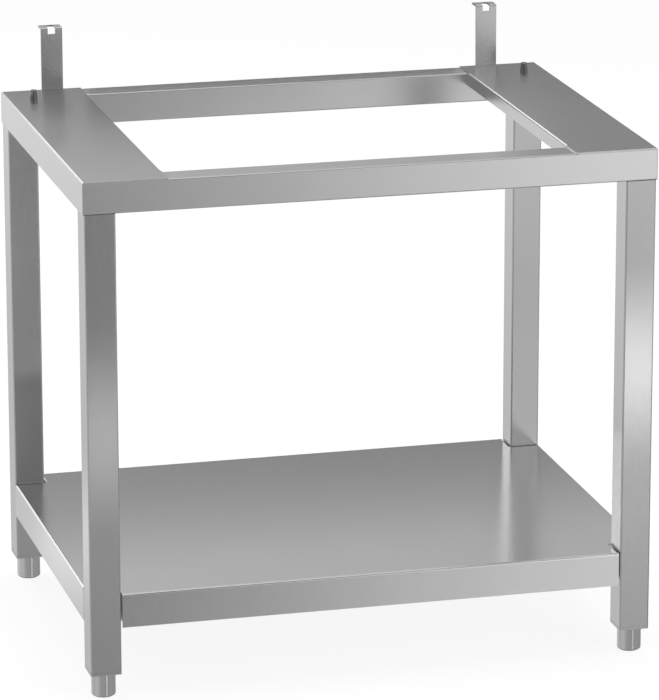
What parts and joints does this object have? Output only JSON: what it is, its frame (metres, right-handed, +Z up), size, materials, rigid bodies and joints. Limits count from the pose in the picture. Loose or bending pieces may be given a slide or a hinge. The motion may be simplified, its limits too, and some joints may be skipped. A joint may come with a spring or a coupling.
{
  "type": "oven stand",
  "caption": "Open stainless steel oven stand of square tube with two side panels, a folded lower shelf, rear oven brackets, locating pins and levelling feet.",
  "frame": {"origin": "centre of the bounding box's base: on the floor, midway between the outer faces of the side panels, and midway between the front rail's front face and the bracket tabs' rear edge", "axes": "+X to the right seen from the front, +Y to the back where the brackets stand, +Z up"},
  "size_m": [0.743, 0.555, 0.7564],
  "materials": {
    "satin_stainless": "satin ground stainless steel, grain along each tube or panel",
    "bracket_stainless": "mill finish stainless steel plate",
    "polished_stainless": "turned and polished stainless steel",
    "plain_stainless": "plain stainless steel fasteners",
    "zinc_plated_steel": "bright zinc plated steel",
    "black_nylon": "moulded black nylon, fine grain"
  },
  "bodies": {
    "stand": {"front_rail": "satin_stainless", "rear_rail": "satin_stainless", "front_left_leg": "satin_stainless", "front_right_leg": "satin_stainless", "rear_left_leg": "satin_stainless", "rear_right_leg": "satin_stainless", "left_top_panel": "satin_stainless", "right_top_panel": "satin_stainless", "shelf": "satin_stainless", "shelf_stiffener": "satin_stainless", "front_left_end_plate": "satin_stainless", "front_right_end_plate": "satin_stainless", "rear_left_end_plate": "satin_stainless", "rear_right_end_plate": "satin_stainless", "left_oven_bracket": "bracket_stainless", "right_oven_bracket": "bracket_stainless", "left_locating_pin": "polished_stainless", "right_locating_pin": "polished_stainless", "bracket_screws": "plain_stainless", "bracket_rivet_nuts": "plain_stainless", "pin_doublers": "plain_stainless", "pin_washers": "plain_stainless", "pin_nuts": "plain_stainless", "foot_nuts": "plain_stainless"},
    "front_left_pad": {"front_left_glide": "black_nylon"},
    "front_left_foot_screw": {"front_left_foot": "polished_stainless", "front_left_spindle": "zinc_plated_steel"},
    "front_right_pad": {"front_right_glide": "black_nylon"},
    "front_right_foot_screw": {"front_right_foot": "polished_stainless", "front_right_spindle": "zinc_plated_steel"},
    "rear_left_pad": {"rear_left_glide": "black_nylon"},
    "rear_left_foot_screw": {"rear_left_foot": "polished_stainless", "rear_left_spindle": "zinc_plated_steel"},
    "rear_right_pad": {"rear_right_glide": "black_nylon"},
    "rear_right_foot_screw": {"rear_right_foot": "polished_stainless", "rear_right_spindle": "zinc_plated_steel"}
  },
  "joints": [
    {"name": "front_left_foot_travel", "type": "slide", "parent": "stand", "child": "front_left_pad", "axis": [0, 0, -1], "range_m": [0, 0.025]},
    {"name": "front_left_foot_turn", "type": "hinge", "parent": "front_left_pad", "child": "front_left_foot_screw", "pos_m": [-0.35, -0.2575, 0.0316], "axis": [0, 0, -1], "range_deg": [0, 6000]},
    {"name": "front_right_foot_travel", "type": "slide", "parent": "stand", "child": "front_right_pad", "axis": [0, 0, -1], "range_m": [0, 0.025]},
    {"name": "front_right_foot_turn", "type": "hinge", "parent": "front_right_pad", "child": "front_right_foot_screw", "pos_m": [0.35, -0.2575, 0.0316], "axis": [0, 0, -1], "range_deg": [0, 6000]},
    {"name": "rear_left_foot_travel", "type": "slide", "parent": "stand", "child": "rear_left_pad", "axis": [0, 0, -1], "range_m": [0, 0.025]},
    {"name": "rear_left_foot_turn", "type": "hinge", "parent": "rear_left_pad", "child": "rear_left_foot_screw", "pos_m": [-0.35, 0.2375, 0.0316], "axis": [0, 0, -1], "range_deg": [0, 6000]},
    {"name": "rear_right_foot_travel", "type": "slide", "parent": "stand", "child": "rear_right_pad", "axis": [0, 0, -1], "range_m": [0, 0.025]},
    {"name": "rear_right_foot_turn", "type": "hinge", "parent": "rear_right_pad", "child": "rear_right_foot_screw", "pos_m": [0.35, 0.2375, 0.0316], "axis": [0, 0, -1], "range_deg": [0, 6000]}
  ],
  "couplings": [
    {"joint": "front_left_foot_turn", "follows": "front_left_foot_travel", "rad_per_m": 4188.8},
    {"joint": "front_right_foot_turn", "follows": "front_right_foot_travel", "rad_per_m": 4188.8},
    {"joint": "rear_left_foot_turn", "follows": "rear_left_foot_travel", "rad_per_m": 4188.8},
    {"joint": "rear_right_foot_turn", "follows": "rear_right_foot_travel", "rad_per_m": 4188.8}
  ]
}
